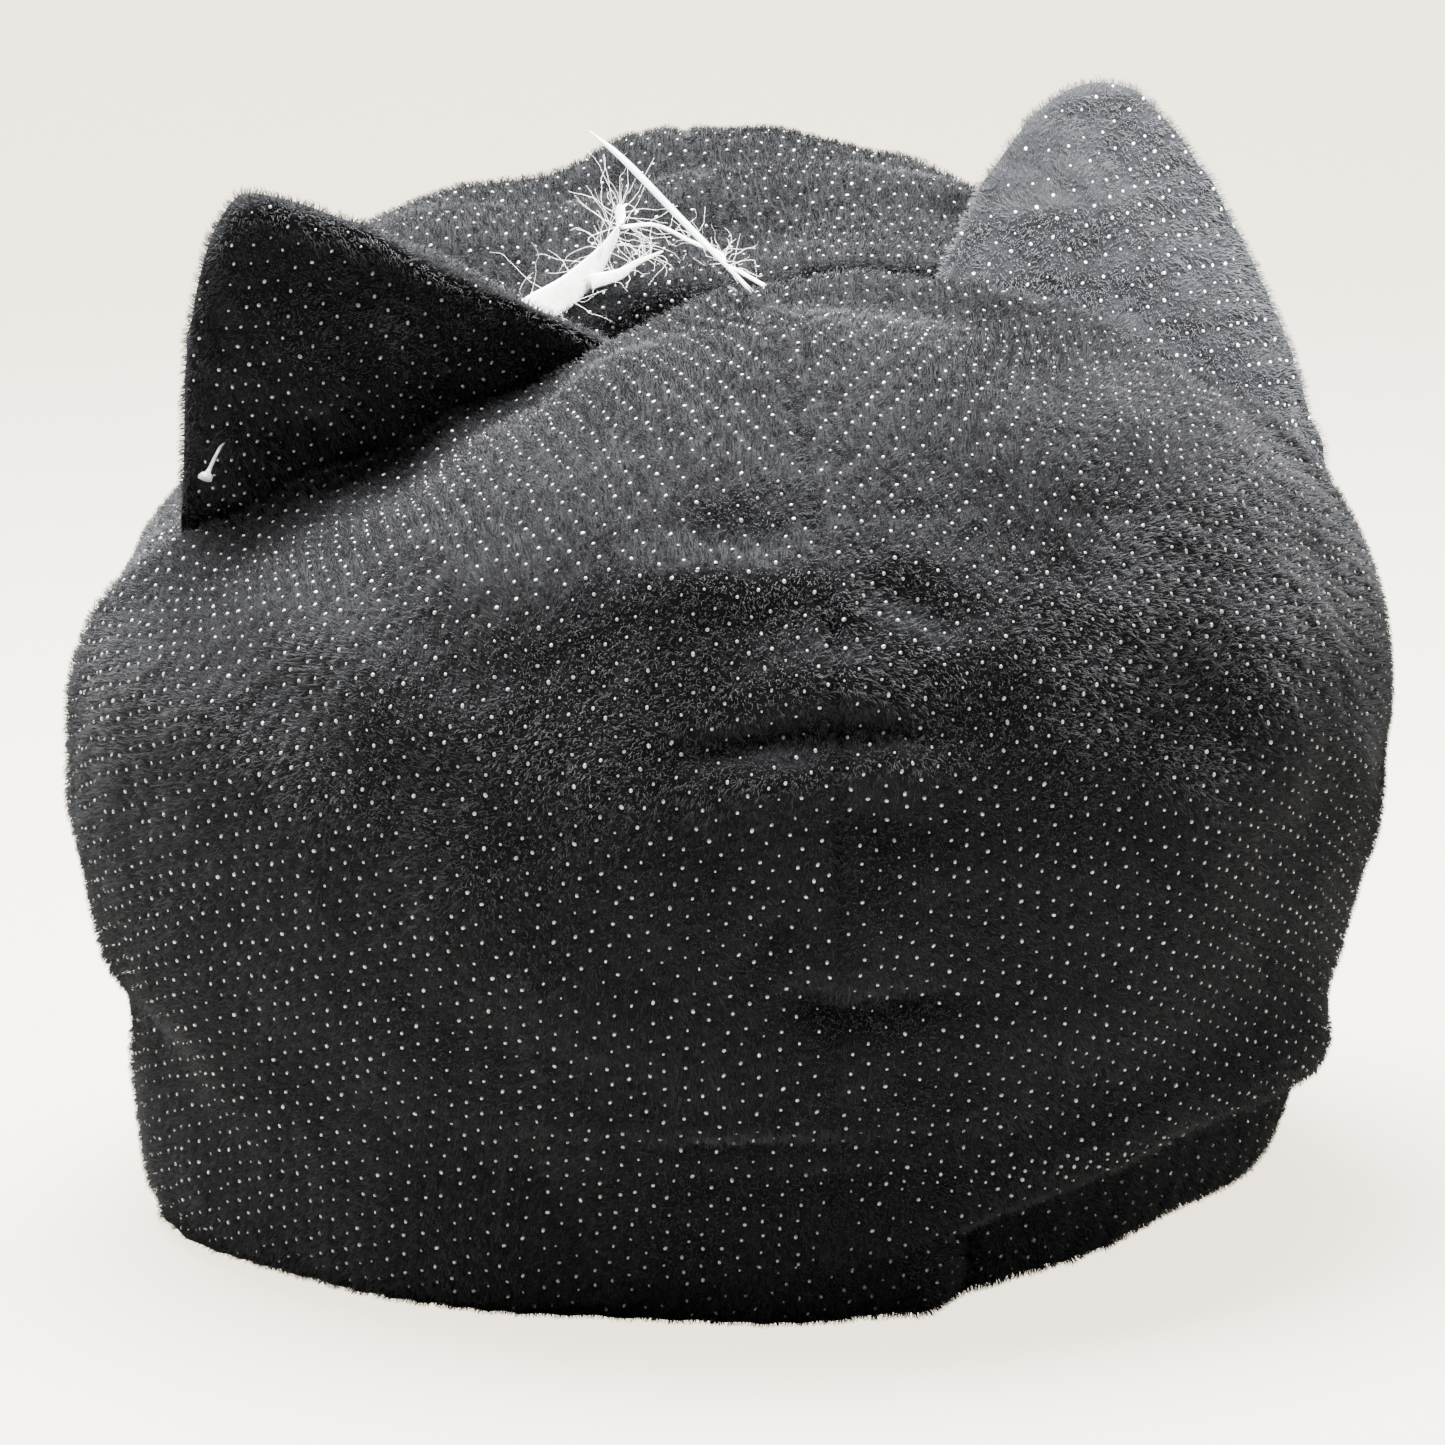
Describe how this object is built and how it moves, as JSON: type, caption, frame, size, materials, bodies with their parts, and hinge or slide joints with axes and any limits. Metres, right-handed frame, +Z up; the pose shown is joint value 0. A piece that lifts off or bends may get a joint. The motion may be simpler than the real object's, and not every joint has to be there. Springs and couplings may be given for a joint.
{
  "type": "plush cat-ear helmet cover",
  "caption": "Stretchy padded plush hood with stuffed cat ears, scattered raised foil dots and an elasticated hem, pulled over a ski helmet; the ears flop and spring back.",
  "frame": {"origin": "middle of the object's box, on the surface that the hem stands on", "axes": "+Z up through the crown, -Y the way the brow faces, +X to the right of someone looking at the brow"},
  "size_m": [0.2386, 0.2474, 0.2047],
  "materials": {
    "plush": "short dense pile with small raised silver foil dots in shallow pits",
    "hem_plush": "folded band of the same dotted plush",
    "lining": "smooth knitted lining",
    "wadding": "soft white fibre, hidden",
    "elastic": "ribbed woven elastic, hidden",
    "sewing_thread": "twisted polyester thread",
    "nylon": "clear, slightly milky, smooth",
    "ribbon": "woven satin, frayed at the cut end"
  },
  "bodies": {
    "hood": {"front_panel_left": "plush", "front_panel_right": "plush", "back_panel_left": "plush", "back_panel_right": "plush", "front_wadding_left": "wadding", "front_wadding_right": "wadding", "back_wadding_left": "wadding", "back_wadding_right": "wadding", "front_seam_thread": "sewing_thread", "back_seam_thread": "sewing_thread", "side_seam_thread_left": "sewing_thread", "side_seam_thread_right": "sewing_thread", "hem_thread": "sewing_thread", "lining_front": "lining", "lining_back": "lining", "hem_band": "hem_plush", "hem_elastic": "elastic", "tag_loop": "nylon", "ribbon_stump": "ribbon", "loose_yarn": "ribbon"},
    "left_ear": {"ear_front_left": "plush", "ear_back_left": "plush", "ear_filling_left": "wadding", "tag_fastener": "nylon"},
    "right_ear": {"ear_front_right": "plush", "ear_back_right": "plush", "ear_filling_right": "wadding"}
  },
  "joints": [
    {"name": "left_ear_flop", "type": "hinge", "parent": "hood", "child": "left_ear", "pos_m": [-0.06677, -0.02281, 0.13357], "axis": [-0.9053, 0.1051, -0.4115], "range_deg": [-12, 10], "stiffness_Nm_per_rad": 0.15},
    {"name": "right_ear_flop", "type": "hinge", "parent": "hood", "child": "right_ear", "pos_m": [0.08374, -0.02038, 0.14613], "axis": [-0.8382, -0.1457, 0.5256], "range_deg": [-25, 10], "stiffness_Nm_per_rad": 0.15}
  ]
}
